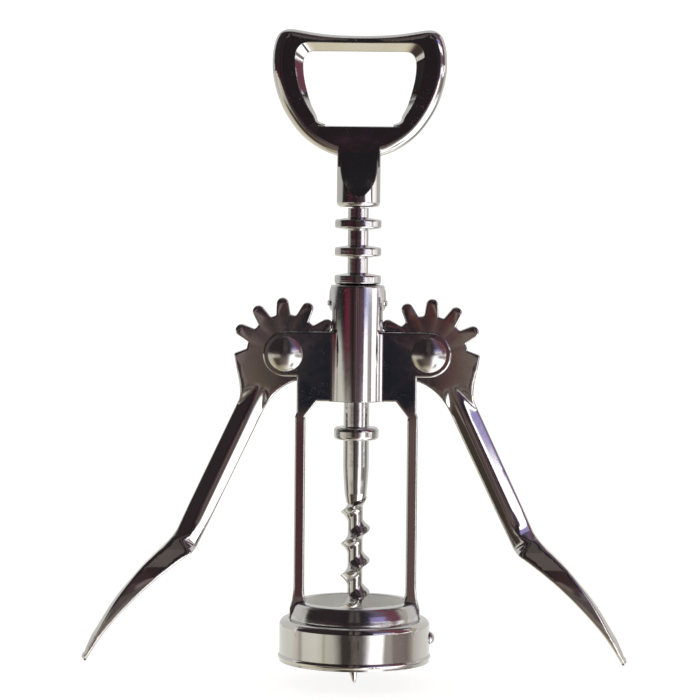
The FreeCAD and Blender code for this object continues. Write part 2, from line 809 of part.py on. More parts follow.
# ---------------------------------------------------------------- levers
# Outline of a lever in the plane of its gear, from its pivot: u outwards, v up.
ARM_OUTER = [(13.9, -0.1), (13.44, -2.7), (12.88, -5.4), (12.45, -7.6), (12.22, -10.0), (12.3, -12.1)]
BEND_OUTER = [(29.0, -47.8), (30.1, -49.5), (32.6, -52.2), (36.5, -55.9), (42.3, -62.3), (47.2, -68.9), (51.0, -75.3), (53.9, -81.4)]
TIP = [(54.35, -83.1), (53.3, -83.7)]
BEND_INNER = [(52.2, -81.8), (47.9, -75.3), (42.4, -68.9), (35.8, -62.4), (28.3, -56.4), (25.4, -54.35), (24.0, -53.2), (23.15, -51.75)]
HEEL = [(6.35, -16.5), (4.93, -13.8), (3.2, -11.4), (0.9, -9.3), (-1.9, -7.7), (-5.0, -6.85)]
# Height, from the pivot, where the arm starts to widen into the paddle
STEP = -46.5
# Half width of the paddle as a part of its widest half, at heights from the pivot
LEAF = [(0.462, -49.6), (0.769, -52.6), (1.0, -64.0), (0.6, -78.5), (0.37, -82.0), (0.0, -84.4)]


def lever(label, side):
    body = new_body(label)
    root, tip_r = d.gear_root.value, d.gear_tip.value
    ht = d.gear_thick.value / 2
    pitch_a, first_a = d.tooth_pitch.value, d.tooth_first.value
    wb, we = d.tooth_base_half.value, d.tooth_end_half.value

    def P(u, v):
        return Vector(side * u, v, 0)

    def polar(r, a):
        """Point at an angle above the line from the pivot to the barrel."""
        return (-r * math.cos(math.radians(a)), r * math.sin(math.radians(a)))

    def tooth(a):
        """Corner points of a finger-shaped tooth."""
        ca, sa = math.cos(math.radians(a)), math.sin(math.radians(a))

        def at(r, w):
            return (-r * ca - w * sa, r * sa - w * ca)

        rb = math.sqrt(root**2 - wb**2)
        end = tip_r - we * 0.9
        return at(rb, wb), at(end, we), at(tip_r, 0), at(end, -we), at(rb, -wb)

    curves = []

    def line(a, b):
        curves.append(Part.LineSegment(P(*a), P(*b)))

    def arc3(a, m, b):
        curves.append(Part.Arc(P(*a), P(*m), P(*b)))

    def bs(points, start=None, end=None):
        curve = Part.BSplineCurve()
        pts = [P(*p) for p in points]
        if start is not None:
            curve.interpolate(
                Points=pts, InitialTangent=P(*start), FinalTangent=P(*end)
            )
        else:
            curve.interpolate(pts)
        curves.append(curve)

    start = polar(root, -38.8)
    previous, prev_angle = start, -38.8
    for k in range(-1, 6):
        a = first_a + k * pitch_a
        b0, e0, t, e1, b1 = tooth(a)
        half_angle = math.degrees(math.asin(wb / root))
        mid = polar(root, (prev_angle + a - half_angle) / 2)
        arc3(previous, mid, b0)
        line(b0, e0)
        arc3(e0, t, e1)
        line(e1, b1)
        previous, prev_angle = b1, a + half_angle
    end = polar(root, 173.6)
    arc3(previous, polar(root, (prev_angle + 173.6) / 2), end)
    line(end, ARM_OUTER[0])
    slope = math.radians(d.arm_slope.value)
    down = (math.sin(slope), -math.cos(slope))
    up = (-down[0], -down[1])
    bs(ARM_OUTER, (-0.25, -1), (0.12, -1))
    line(ARM_OUTER[-1], BEND_OUTER[0])
    bs(BEND_OUTER, (0.46, -0.89), (0.38, -0.93))
    arc3(BEND_OUTER[-1], TIP[0], TIP[1])
    line(TIP[1], BEND_INNER[0])
    bs(BEND_INNER, (-0.5, 0.87), (-0.42, 0.907))
    line(BEND_INNER[-1], HEEL[0])
    bs(HEEL + [start], up, (-1, 0.1))
    sk = add_sketch(body, label + "_outline", "XZ_Plane")
    for c in curves:
        sk.addGeometry(c, False)
    pad(body, sk, d.paddle_width + 4, label + "_blank")

    # the gear and the arm are thin: the front and the back of the blank are taken down above the paddle
    for name, near, far in (("front", -12.0, -ht), ("back", ht, 12.0)):
        sk = add_sketch(body, label + "_" + name + "_step", "YZ_Plane")
        polygon(sk, [(near, STEP), (far, STEP), (far, 30.0), (near, 30.0)])
        pocket(body, sk, 160.0, label + "_" + name + "_face")

    # the paddle is a wide leaf: the side view of the lever, run right across it
    side_body = new_body(label + "_side")
    sk = add_sketch(side_body, label + "_side_view", "YZ_Plane", 35.0 * side)
    leaf = d.paddle_width.value / 2
    neck, swell, belly, taper, near_tip, end = [(w * leaf, z) for w, z in LEAF]
    inner = [
        segment((-ht, 25.0), (ht, 25.0)),
        segment((ht, 25.0), (ht, STEP)),
        arc((ht, STEP), neck, swell),
        arc(swell, belly, taper),
        arc(taper, near_tip, end),
        arc(end, (-near_tip[0], near_tip[1]), (-taper[0], taper[1])),
        arc((-taper[0], taper[1]), (-belly[0], belly[1]), (-swell[0], swell[1])),
        arc((-swell[0], swell[1]), (-neck[0], neck[1]), (-ht, STEP)),
        segment((-ht, STEP), (-ht, 25.0)),
    ]
    for c in inner:
        sk.addGeometry(c, False)
    pad(side_body, sk, 110.0, label + "_side_blank")

    # bore for the pivot rivet
    sk = add_sketch(body, label + "_bore", "XZ_Plane")
    circle(sk, 0, 0, d.pin_radius + d.pin_play)
    pocket(body, sk, 20.0, label + "_pivot_bore")
    both = doc.addObject("Part::Common", label + "_shape")
    both.Base = body
    both.Tool = side_body
    return settle(both)


def prism(corners, start, finish, place):
    """A three-sided prism with slanted ends: corners are (lateral, height), start and finish give the distance along for each corner."""
    a = [place(s, lat, h) for (lat, h), s in zip(corners, start)]
    b = [place(s, lat, h) for (lat, h), s in zip(corners, finish)]
    faces = [Part.Face(Part.makePolygon(a + [a[0]])), Part.Face(Part.makePolygon(b + [b[0]]))]
    for i in range(3):
        j = (i + 1) % 3
        faces.append(Part.Face(Part.makePolygon([a[i], a[j], b[j], b[i], a[i]])))
    solid = Part.Solid(Part.Shell(faces))
    if solid.Volume < 0:
        solid.reverse()
    return solid


def arm_cutters(side):
    """Four prisms that bevel the front and the back of an arm and leave a flat between them."""
    slope = math.radians(d.arm_slope.value)
    along = (math.sin(slope), -math.cos(slope))
    across = (math.cos(slope), math.sin(slope))
    ht = d.gear_thick.value / 2
    rise = d.bevel_depth.value / 3.0
    cutters = []
    for face in (1, -1):

        def place(s, lat, h):
            u = along[0] * s + across[0] * lat
            v = along[1] * s + across[1] * lat
            return Vector(side * u, face * h, v)

        # outer bevel: boundary of the flat at lateral 3.0; inner bevel: at 1.15
        for edge, out, span in ((3.0, 1, 4.6), (1.15, -1, 3.6)):
            slope_h = rise if out > 0 else d.bevel_depth.value / 2.35
            far = (edge + out * span, ht - slope_h * span)
            near = (edge - out * 2.6, ht + slope_h * 2.6)
            high = (edge + out * span, 11.0)
            corners = [far, near, high]

            def start_s(c):
                lat, h = c
                out_by = (lat - edge) * out
                return 10.4 + 1.5 * out_by + 3.0 * (ht - h)

            def finish_s(c):
                lat, h = c
                out_by = (lat - edge) * out
                if out < 0:
                    return 57.4 + 0.35 * out_by - 0.3 * (ht - h)
                return 55.2 + 0.55 * out_by - 1.05 * (ht - h)

            cutters.append(
                prism(corners, [start_s(c) for c in corners], [finish_s(c) for c in corners], place)
            )
    return cutters


for label, side in (("left_lever", -1), ("right_lever", 1)):
    blank = lever(label + "_casting", side)
    tools = []
    for i, solid in enumerate(arm_cutters(side)):
        tool = doc.addObject("Part::Feature", "%s_bevel_%d" % (label, i + 1))
        tool.Shape = solid
        tools.append(tool)
    together = doc.addObject("Part::MultiFuse", label + "_bevels")
    together.Shapes = tools
    cut = doc.addObject("Part::Cut", label)
    cut.Label = label
    cut.Base = blank
    cut.Tool = together
    cut.Placement = Placement(Vector(side * px, 0, pz), Rotation())
    cut.setExpression("Placement.Base.x", (d.pivot_x * side).text)
    cut.setExpression("Placement.Base.z", d.pivot_z.text)
doc.recompute()

# ---------------------------------------------------------------- handle
# A loop that also opens crown caps, on a round shank.
handle = new_body("handle")
sk = add_sketch(handle, "loop_outline", "XZ_Plane")
OUTER = [(0, 168.05), (6.5, 168.2), (12.5, 168.8), (17.0, 169.55), (19.6, 169.6), (21.5, 168.55), (22.6, 166.5), (23.15, 164.0), (23.35, 161.0), (23.2, 158.0), (22.7, 155.0), (21.75, 151.7), (20.4, 148.5), (18.5, 145.3), (16.1, 142.2), (13.2, 139.6), (9.6, 137.4), (5.6, 135.9)]
loop = []
loop.append(spline(OUTER, (1, 0), (-0.95, -0.3)))
loop.append(segment((5.6, 135.9), (5.6, 133.0)))
loop.append(segment((5.6, 133.0), (0, 133.0)))
for c in loop:
    sk.addGeometry(c, False)
for c in loop:
    twin = c.copy()
    twin.mirror(Vector(0, 0, 0), Vector(0, 1, 0))
    sk.addGeometry(twin, False)
plate = pad(handle, sk, d.loop_thick, "loop")
outer = edge_names(plate, on_faces(d.loop_thick * 0.5, 134.0, zlow=136.0))
rounded = round_edges(handle, plate, outer, d.loop_round, "loop_edges")

sk = add_sketch(handle, "opening_outline", "XZ_Plane")
HOLE = [(12.0, 163.85), (13.75, 163.45), (14.8, 162.2), (15.12, 160.2), (14.98, 157.8), (14.48, 155.0), (13.6, 151.7), (12.45, 148.6), (11.35, 146.3), (10.4, 144.9), (9.3, 144.2), (8.0, 144.0)]
hole = [
    segment((0, 163.85), (12.0, 163.85)),
    spline(HOLE, (1, 0), (-1, 0)),
    segment((8.0, 144.0), (0, 144.0)),
]
for c in hole:
    sk.addGeometry(c, False)
for c in hole:
    twin = c.copy()
    twin.mirror(Vector(0, 0, 0), Vector(0, 1, 0))
    sk.addGeometry(twin, False)
opened = pocket(handle, sk, 30.0, "loop_opening")
# the bevel round the opening, front and back: wide along the top, fading out down the sides
FACE = [(13.0, 166.1), (15.3, 165.7), (16.75, 164.2), (17.3, 161.4), (17.05, 158.3), (16.3, 155.0), (15.05, 151.4), (13.4, 148.2), (12.0, 145.9), (10.8, 144.45), (9.5, 143.85), (8.0, 143.7)]


def opening_profile(points, name, offset):
    """The outline of the opening at a depth, as six edges."""
    sk = add_sketch(handle, name, "XZ_Plane", offset)
    curves = [
        segment((0, points[0][1]), points[0]),
        spline(points, (1, 0), (-1, 0)),
        segment(points[-1], (0, points[-1][1])),
    ]
    for c in curves:
        sk.addGeometry(c, False)
    for c in curves:
        twin = c.copy()
        twin.mirror(Vector(0, 0, 0), Vector(0, 1, 0))
        sk.addGeometry(twin, False)
    sk.Visibility = False
    return sk


for name, sign in (("opening_bevel_front", 1), ("opening_bevel_back", -1)):
    deep = opening_profile(HOLE, name + "_inner", (d.loop_thick * 0.5 - d.loop_bevel) * sign)
    shallow = opening_profile(FACE, name + "_outer", d.loop_thick * (0.5 * sign))
    before = handle.Shape.Volume
    f = handle.newObject("PartDesign::SubtractiveLoft", name)
    f.Profile = deep
    f.Sections = [shallow]
    f.Ruled = True
    settle(f)
    if not f.Shape.Volume < before - 10.0:
        raise RuntimeError("%s took nothing away" % name)

sk = add_sketch(handle, "grip_shank_profile", "XZ_Plane")
polygon(
    sk,
    [
        (0, d.grip_shank_bottom),
        (d.grip_shank_radius, d.grip_shank_bottom),
        (d.grip_shank_radius, d.grip_shank_bottom + 14.6),
        (0, d.grip_shank_bottom + 14.6),
    ],
)
turned = revolve(handle, sk, "grip_shank")
names = edge_names(turned, rim(d.grip_shank_bottom, d.grip_shank_radius))
round_edges(handle, turned, names, d.grip_shank_round, "grip_shank_edge")

# the faces of the loop run on down the shank and fade out above its lower edge
lt = d.loop_thick.value / 2
FLAT = [(lt, 137.4), (lt + 0.06, 135.6), (lt + 0.36, 132.6), (lt + 0.88, 130.2), (lt + 1.7, 128.1), (lt + 2.5, 126.3), (lt + 3.2, 124.4)]
sk = add_sketch(handle, "shank_flat_outline", "YZ_Plane")
for sign in (1, -1):
    curve = spline([(sign * y, z) for y, z in FLAT], (0, -1), (sign * 0.36, -0.93))
    sk.addGeometry(curve, False)
    for a, b in (
        ((FLAT[-1][0], FLAT[-1][1]), (9.0, FLAT[-1][1])),
        ((9.0, FLAT[-1][1]), (9.0, 137.4)),
        ((9.0, 137.4), (lt, 137.4)),
    ):
        sk.addGeometry(segment((sign * a[0], a[1]), (sign * b[0], b[1])), False)
pocket(handle, sk, 30.0, "shank_flats")

sk = add_sketch(handle, "stem_socket_outline", "XY_Plane", d.grip_shank_bottom)
circle(sk, 0, 0, d.stem_radius)
pocket(handle, sk, d.stem_top - d.grip_shank_bottom, "stem_socket", midplane=False, reverse=True)

doc.recompute()

# ---------------------------------------------------------------- check and write
NODES = [
    "annular_rack",
    "spindle_shank",
    "stop_collar",
    "worm",
    "frame_casting",
    "bell_skirt",
    "skirt_rivet",
    "left_pivot_rivet",
    "right_pivot_rivet",
    "left_lever",
    "right_lever",
    "handle",
]
bad = []
for obj in doc.Objects:
    if "Invalid" in obj.State or "Error" in obj.State:
        bad.append("%s: %s" % (obj.Label, obj.State))
by_label = {}
for obj in doc.Objects:
    if obj.Label in NODES:
        by_label.setdefault(obj.Label, []).append(obj)
for node in NODES:
    found = by_label.get(node, [])
    if len(found) != 1:
        bad.append("%s: %d objects" % (node, len(found)))
        continue
    shape = found[0].Shape
    if shape.isNull() or not shape.isValid() or not shape.Solids:
        bad.append("%s: bad shape" % node)
        continue
    box = shape.BoundBox
    print(
        "%-18s solids %d volume %9.2f  x %.2f..%.2f y %.2f..%.2f z %.2f..%.2f"
        % (node, len(shape.Solids), shape.Volume, box.XMin, box.XMax, box.YMin, box.YMax, box.ZMin, box.ZMax)
    )
if bad:
    raise SystemExit("not written: " + "; ".join(bad))
os.makedirs("parts", exist_ok=True)
for node in NODES:
    by_label[node][0].Shape.exportStep("parts/%s.step" % node)
print("wrote", len(NODES), "parts")
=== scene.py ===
import math

import bmesh
import bpy
import numpy as np
from mathutils import Matrix, Vector


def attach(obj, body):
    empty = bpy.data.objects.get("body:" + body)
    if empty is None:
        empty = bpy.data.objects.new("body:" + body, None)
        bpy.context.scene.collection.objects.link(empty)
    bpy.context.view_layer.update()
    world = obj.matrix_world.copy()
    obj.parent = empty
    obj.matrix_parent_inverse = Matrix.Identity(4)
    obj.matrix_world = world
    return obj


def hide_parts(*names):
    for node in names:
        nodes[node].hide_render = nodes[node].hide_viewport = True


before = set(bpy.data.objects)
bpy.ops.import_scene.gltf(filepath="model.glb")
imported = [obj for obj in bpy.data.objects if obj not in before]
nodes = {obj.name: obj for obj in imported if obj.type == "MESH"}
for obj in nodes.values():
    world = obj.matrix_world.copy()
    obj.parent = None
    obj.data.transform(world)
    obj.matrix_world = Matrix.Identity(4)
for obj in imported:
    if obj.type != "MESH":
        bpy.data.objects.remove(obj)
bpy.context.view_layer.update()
scene = bpy.context.scene


# ---------------------------------------------------------------- node helpers
class Graph:
    """Short names for building a node tree."""

    def __init__(self, tree):
        self.tree = tree
        self.nodes = tree.nodes
        self.links = tree.links

    def new(self, kind, **settings):
        node = self.nodes.new(kind)
        for k, v in settings.items():
            setattr(node, k, v)
        return node

    def put(self, socket, value):
        if isinstance(value, bpy.types.NodeSocket):
            self.links.new(value, socket)
        elif value is not None:
            socket.default_value = value

    def math(self, op, a, b=None, c=None, clamp=False):
        node = self.new("ShaderNodeMath", operation=op, use_clamp=clamp)
        for socket, value in zip(node.inputs, (a, b, c)):
            self.put(socket, value)
        return node.outputs[0]

    def step(self, value, low, high, out_low=0.0, out_high=1.0):
        """A smooth rise from out_low at low to out_high at high."""
        node = self.new("ShaderNodeMapRange", interpolation_type="SMOOTHSTEP", clamp=True)
        self.put(node.inputs["Value"], value)
        self.put(node.inputs["From Min"], low)
        self.put(node.inputs["From Max"], high)
        self.put(node.inputs["To Min"], out_low)
        self.put(node.inputs["To Max"], out_high)
        return node.outputs["Result"]

    def band(self, value, low, high, soft):
        """1 between low and high, 0 outside, with soft edges."""
        up = self.step(value, low - soft, low + soft)
        down = self.step(value, high - soft, high + soft, 1.0, 0.0)
        return self.math("MULTIPLY", up, down)

    def mix(self, factor, a, b, blend="MIX"):
        node = self.new("ShaderNodeMix", data_type="RGBA", blend_type=blend, clamp_factor=True)
        self.put(node.inputs[0], factor)
        self.put(node.inputs[6], a if isinstance(a, bpy.types.NodeSocket) else (*a, 1.0))
        self.put(node.inputs[7], b if isinstance(b, bpy.types.NodeSocket) else (*b, 1.0))
        return node.outputs[2]

    def noise(self, vector, scale, detail=2.0, rough=0.5, distort=0.0):
        node = self.new("ShaderNodeTexNoise", noise_dimensions="3D")
        self.put(node.inputs["Vector"], vector)
        self.put(node.inputs["Scale"], scale)
        self.put(node.inputs["Detail"], detail)
        self.put(node.inputs["Roughness"], rough)
        self.put(node.inputs["Distortion"], distort)
        return node.outputs[0]

    def ramp(self, value, stops):
        node = self.new("ShaderNodeValToRGB")
        self.put(node.inputs[0], value)
        ramp = node.color_ramp
        while len(ramp.elements) > 1:
            ramp.elements.remove(ramp.elements[-1])
        for i, (at, colour) in enumerate(stops):
            e = ramp.elements[0] if i == 0 else ramp.elements.new(at)
            e.position = at
            e.color = (*colour, 1.0)
        return node.outputs[0]

    def bump(self, height, strength, distance, normal=None):
        node = self.new("ShaderNodeBump")
        self.put(node.inputs["Strength"], strength)
        self.put(node.inputs["Distance"], distance)
        self.put(node.inputs["Height"], height)
        if normal is not None:
            self.put(node.inputs["Normal"], normal)
        return node.outputs[0]


def chrome(name, plate=(0.62, 0.62, 0.63), rough=0.07, wave=1.0, grain=1.0, turned=0.0, edge=0.00022, painted_edge_shade=0.6, painted_hollow_shade=0.0, inside=False, dull_below=None):
    """Chrome plate: a wavy skin over a casting, with fine speckle, pits and soft worn edges; a painted dark line of
    shade along every edge, and painted shade in the hollows where asked.
    """
    material = bpy.data.materials.new(name)
    material.use_nodes = True
    g = Graph(material.node_tree)
    shader = next(n for n in g.nodes if n.type == "BSDF_PRINCIPLED")
    where = g.new("ShaderNodeTexCoord").outputs["Object"]

    # slow waves of a polished casting, then the fine orange peel of the plate
    slow = g.noise(where, 95.0, 1.5, 0.45)
    peel = g.noise(where, 620.0, 2.0, 0.5)
    fine = g.noise(where, 2600.0, 2.0, 0.6)
    speck = g.step(g.noise(where, 3300.0, 1.0, 0.5), 0.66, 0.74)
    pits = g.math("MULTIPLY", speck, g.step(g.noise(where, 160.0, 2.0, 0.6), 0.50, 0.62))

    colour = g.mix(g.step(slow, 0.3, 0.7), tuple(c * 0.95 for c in plate), plate)
    colour = g.mix(g.math("MULTIPLY", pits, 0.75 * min(grain, 1.0)), colour, tuple(c * 0.35 for c in plate))
    edges = g.new("ShaderNodeNewGeometry").outputs["Pointiness"]
    worn = g.step(edges, 0.53, 0.62)
    hollow = g.step(edges, 0.47, 0.40)
    colour = g.mix(g.math("MULTIPLY", worn, 0.35), colour, tuple(min(1.0, c * 1.22) for c in plate))
    # painted shade: the concave hollows are darkened toward near black
    if painted_hollow_shade:
        colour = g.mix(g.math("MULTIPLY", hollow, painted_hollow_shade), colour, (0.09, 0.08, 0.08))
    # a soft rounding of every edge, and a painted dark line of shade along it
    soft = g.new("ShaderNodeBevel", samples=6)
    soft.inputs["Radius"].default_value = edge
    turn_off = g.new("ShaderNodeVectorMath", operation="DOT_PRODUCT")
    g.put(turn_off.inputs[0], soft.outputs[0])
    g.put(turn_off.inputs[1], g.new("ShaderNodeNewGeometry").outputs["Normal"])
    # painted shade: the colour goes near black where the rounded normal turns away from the face's own, a dark line
    # drawn along every edge
    colour = g.mix(g.math("MULTIPLY", g.step(turn_off.outputs["Value"], 0.985, 0.94), painted_edge_shade), colour, (0.05, 0.048, 0.048))
    g.put(shader.inputs["Base Color"], colour)
    shader.inputs["Metallic"].default_value = 1.0
    roughness = g.math("MULTIPLY_ADD", peel, 0.05, rough - 0.02)
    if inside:
        # the inside of the bell is as cast, under a thin dull plate
        split = g.new("ShaderNodeSeparateXYZ")
        g.put(split.inputs[0], where)
        x, y, z = split.outputs
        reach = g.math("SQRT", g.math("ADD", g.math("MULTIPLY", x, x), g.math("MULTIPLY", y, y)))
        dull = g.math("MULTIPLY", g.step(reach, 0.01365, 0.0152, 1.0, 0.0), g.step(z, 0.0158, 0.0163, 1.0, 0.0))
        g.put(shader.inputs["Metallic"], g.math("MULTIPLY_ADD", dull, -0.55, 1.0))
        roughness = g.math("MULTIPLY_ADD", dull, 0.28, roughness)
        g.put(shader.inputs["Base Color"], g.mix(g.math("MULTIPLY", dull, 0.8), colour, (0.86, 0.85, 0.80)))
    if dull_below is not None:
        # the polishing wheel doesn't reach the low part as well
        split = g.new("ShaderNodeSeparateXYZ")
        g.put(split.inputs[0], where)
        roughness = g.math("MULTIPLY_ADD", g.step(split.outputs["Z"], dull_below, dull_below + 0.0015, 1.0, 0.0), 0.13, roughness)
    roughness = g.math("MULTIPLY_ADD", pits, 0.35, roughness)
    roughness = g.math("MULTIPLY_ADD", worn, 0.06, roughness)
    g.put(shader.inputs["Roughness"], roughness)

    normal = g.bump(slow, 0.30 * wave, 0.0012, soft.outputs[0])
    normal = g.bump(peel, 0.14 * wave, 0.00012, normal)
    normal = g.bump(fine, 0.022 * grain, 0.00002, normal)
    normal = g.bump(pits, -0.5 * grain, 0.00006, normal)
    if turned:
        rings = g.new("ShaderNodeTexNoise", noise_dimensions="1D")
        split = g.new("ShaderNodeSeparateXYZ")
        g.put(split.inputs[0], where)
        g.put(rings.inputs["W"], split.outputs["Z"])
        rings.inputs["Scale"].default_value = 9000.0
        rings.inputs["Detail"].default_value = 3.0
        normal = g.bump(rings.outputs[0], 0.35 * turned, 0.00001, normal)
    g.put(shader.inputs["Normal"], normal)
    return material


# ---------------------------------------------------------------- materials
casting = chrome("chrome_casting", plate=(0.62, 0.615, 0.62), rough=0.028, wave=0.014, grain=1.2, edge=0.00042, painted_edge_shade=0.85, inside=True, dull_below=0.0165)
lever_plate = chrome("chrome_lever", plate=(0.62, 0.61, 0.61), rough=0.05, wave=0.024, grain=1.2, edge=0.0003, painted_edge_shade=0.5)
handle_plate = chrome("chrome_handle", plate=(0.62, 0.61, 0.61), rough=0.05, wave=0.35, grain=0.6, edge=0.0004, painted_edge_shade=0.85)
sheet_plate = chrome("chrome_sheet", plate=(0.63, 0.62, 0.61), rough=0.06, wave=0.5, grain=0.7)
rivet_plate = chrome("chrome_rivet", plate=(0.60, 0.59, 0.59), rough=0.20, wave=0.3, grain=0.8)
turned_plate = chrome("chrome_turned", plate=(0.62, 0.615, 0.62), rough=0.065, wave=0.4, grain=0.6, turned=1.0)
worm_plate = chrome("worm_steel", plate=(0.60, 0.595, 0.59), rough=0.10, wave=0.9, grain=1.4, painted_hollow_shade=0.7)

FINISH = {
    "frame_casting": casting,
    "bell_skirt": sheet_plate,
    "skirt_rivet": rivet_plate,
    "left_pivot_rivet": rivet_plate,
    "right_pivot_rivet": rivet_plate,
    "left_lever": lever_plate,
    "right_lever": lever_plate,
    "annular_rack": turned_plate,
    "spindle_shank": turned_plate,
    "stop_collar": turned_plate,
    "worm": worm_plate,
    "handle": handle_plate,
}
for name, material in FINISH.items():
    for slot in nodes[name].material_slots:
        slot.material = material

# ---------------------------------------------------------------- levers
# The arms of a casting have no hard corners where a bevel runs out or the arm bends into its blade.
PIVOT = (0.0192, 0.0829)
SLOPE = math.radians(24.96)
CROWN = 0.0015


def crown(bm, pivot, side):
    """The blade's outer face is crowned like the back of a spoon, more so toward its tip."""
    root = 0.0690
    for y in (-0.0054, -0.0044, -0.0034, -0.0024, -0.0012, 0.0, 0.0012, 0.0024, 0.0034, 0.0044, 0.0054):
        geom = set()
        for f in bm.faces:
            if (f.calc_center_median() - pivot).length > root - 0.002:
                geom.add(f)
                geom.update(f.edges)
                geom.update(f.verts)
        bmesh.ops.bisect_plane(bm, geom=list(geom), plane_co=(0.0, y, 0.0), plane_no=(0.0, 1.0, 0.0), dist=1e-6)
    bm.normal_update()
    reach = max((v.co - pivot).length for v in bm.verts)
    blade = [v for v in bm.verts if (v.co - pivot).length > root]
    # half the leaf's width, by the share of the way to the tip
    count = 40
    half = [0.0004] * (count + 1)
    for v in blade:
        u = ((v.co - pivot).length - root) / (reach - root)
        i = min(count, int(u * count))
        half[i] = max(half[i], abs(v.co.y))
    half = [max(half[max(0, i - 1):i + 2]) for i in range(count + 1)]
    # the outer and inner faces' heights along the outward direction, to share the move through the thickness
    faces = {1: [], -1: []}
    seen = []
    for v in blade:
        u = ((v.co - pivot).length - root) / (reach - root)
        lean = math.radians(35.0 + 27.0 * u)
        out = Vector((side * math.sin(lean), 0.0, math.cos(lean)))
        height = (v.co - pivot).dot(out)
        seen.append((v, u, out, height))
        for way in (1, -1):
            if v.normal.dot(out) * way > 0.9:
                faces[way].append((u, height))
    outer, inner = (np.array(sorted(faces[way])).T for way in (1, -1))
    for v, u, out, height in seen:
        top = float(np.interp(u, outer[0], outer[1]))
        thick = max(0.0002, top - float(np.interp(u, inner[0], inner[1])))
        share = min(1.0, max(0.0, 1.0 - (top - height) / thick))
        at = u * count
        i = min(count - 1, int(at))
        width = half[i] + (half[i + 1] - half[i]) * (at - i)
        depth = min(CROWN * u, 0.5 * thick)
        v.co -= out * (depth * share * min(1.0, abs(v.co.y) / width) ** 2)


def cast_lever(name, side):
    """The lever with the ends of its bevels and its elbow worn smooth."""
    along = Vector((side * math.sin(SLOPE), 0.0, -math.cos(SLOPE)))
    across = Vector((side * math.cos(SLOPE), 0.0, math.sin(SLOPE)))
    pivot = Vector((side * PIVOT[0], 0.0, PIVOT[1]))
    start, end, pitch = 0.0092, 0.0680, 0.0006
    # how worn the corners are, by distance from the pivot
    wear = ((0.0092, 0), (0.0150, 20), (0.0210, 3), (0.0480, 3), (0.0570, 30), (0.0640, 4), (0.0680, 0))
    bm = bmesh.new()
    bm.from_mesh(nodes[name].data)
    bmesh.ops.remove_doubles(bm, verts=bm.verts, dist=2e-6)
    bmesh.ops.dissolve_limit(bm, angle_limit=math.radians(0.4), verts=bm.verts, edges=bm.edges)
    # every corner of the casting is rounded, those of the blade more than those of the gear
    for low, high, offset in ((-1.0, 0.060, 0.00042), (0.060, 1.0, 0.0007)):
        corners = []
        for e in bm.edges:
            if len(e.link_faces) == 2 and e.calc_face_angle(0.0) > math.radians(42.0):
                rel = (e.verts[0].co + e.verts[1].co) * 0.5 - pivot
                if low <= rel.dot(along) < high and rel.length > 0.0065:
                    corners.append(e)
        bmesh.ops.bevel(bm, geom=corners, offset=offset, offset_type="OFFSET", segments=3, profile=0.5, affect="EDGES", clamp_overlap=False)

    def rounds(co):
        rel = co - pivot
        s = rel.dot(along)
        if not start < s < end or rel.dot(across) > 0.0105:
            return 0.0
        for (s0, n0), (s1, n1) in zip(wear[:-1], wear[1:]):
            if s <= s1:
                return n0 + (n1 - n0) * (s - s0) / (s1 - s0)
        return 0.0

    def cut(point, normal):
        geom = set()
        for f in bm.faces:
            rel = f.calc_center_median() - pivot
            if start - 0.0012 < rel.dot(along) < end + 0.0012 and rel.dot(across) < 0.0115:
                geom.add(f)
                geom.update(f.edges)
                geom.update(f.verts)
        bmesh.ops.bisect_plane(bm, geom=list(geom), plane_co=point, plane_no=normal, dist=1e-6)

    for edge in (start - 0.001, end + 0.001):
        bmesh.ops.bisect_plane(bm, geom=bm.verts[:] + bm.edges[:] + bm.faces[:], plane_co=pivot + along * edge, plane_no=along, dist=1e-6)
    for i in range(int((end - start) / pitch) + 1):
        cut(pivot + along * (start + pitch * i), along)
    for i in range(24):
        cut(pivot + across * (-0.0051 + pitch * i), across)
    for i in range(21):
        cut(Vector((0.0, -0.0060 + pitch * i, 0.0)), Vector((0.0, 1.0, 0.0)))
    share = [(v, rounds(v.co)) for v in bm.verts]
    for i in range(max(int(n) for _, n in wear)):
        bmesh.ops.smooth_vert(bm, verts=[v for v, n in share if n > i], factor=0.5, use_axis_x=True, use_axis_y=True, use_axis_z=True)
    crown(bm, pivot, side)
    bmesh.ops.triangulate(bm, faces=bm.faces[:])
    mesh = bpy.data.meshes.new(name + "_cast")
    bm.to_mesh(mesh)
    bm.free()
    mesh.polygons.foreach_set("use_smooth", [True] * len(mesh.polygons))
    mesh.set_sharp_from_angle(angle=math.radians(19.0))
    mesh.materials.append(FINISH[name])
    piece = bpy.data.objects.new(name + "_cast", mesh)
    scene.collection.objects.link(piece)
    weighted = piece.modifiers.new("even_normals", "WEIGHTED_NORMAL")
    weighted.keep_sharp = True
    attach(piece, name)
    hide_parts(name)
    return piece


cast_lever("left_lever", -1)
cast_lever("right_lever", 1)

# ---------------------------------------------------------------- floor
# A lit white table: mostly light of its own, so that only a faint shadow stays under the bell.
FLOOR_Z = -0.0064
bpy.ops.mesh.primitive_circle_add(vertices=128, radius=0.60, fill_type="NGON", location=(0, 0, FLOOR_Z))
floor = bpy.context.object
floor.name = "floor"
paper = bpy.data.materials.new("paper")
paper.use_nodes = True
g = Graph(paper.node_tree)
shader = next(n for n in g.nodes if n.type == "BSDF_PRINCIPLED")
where = g.new("ShaderNodeTexCoord").outputs["Object"]
grain = g.noise(where, 900.0, 3.0)
g.put(shader.inputs["Base Color"], g.mix(grain, (0.17, 0.168, 0.165), (0.20, 0.198, 0.195)))
g.put(shader.inputs["Emission Color"], g.mix(grain, (0.985, 0.982, 0.975), (1.0, 0.998, 0.99)))
shader.inputs["Emission Strength"].default_value = 0.86
shader.inputs["Roughness"].default_value = 0.9
shader.inputs["Specular IOR Level"].default_value = 0.1
floor.data.materials.append(paper)
floor.visible_glossy = False

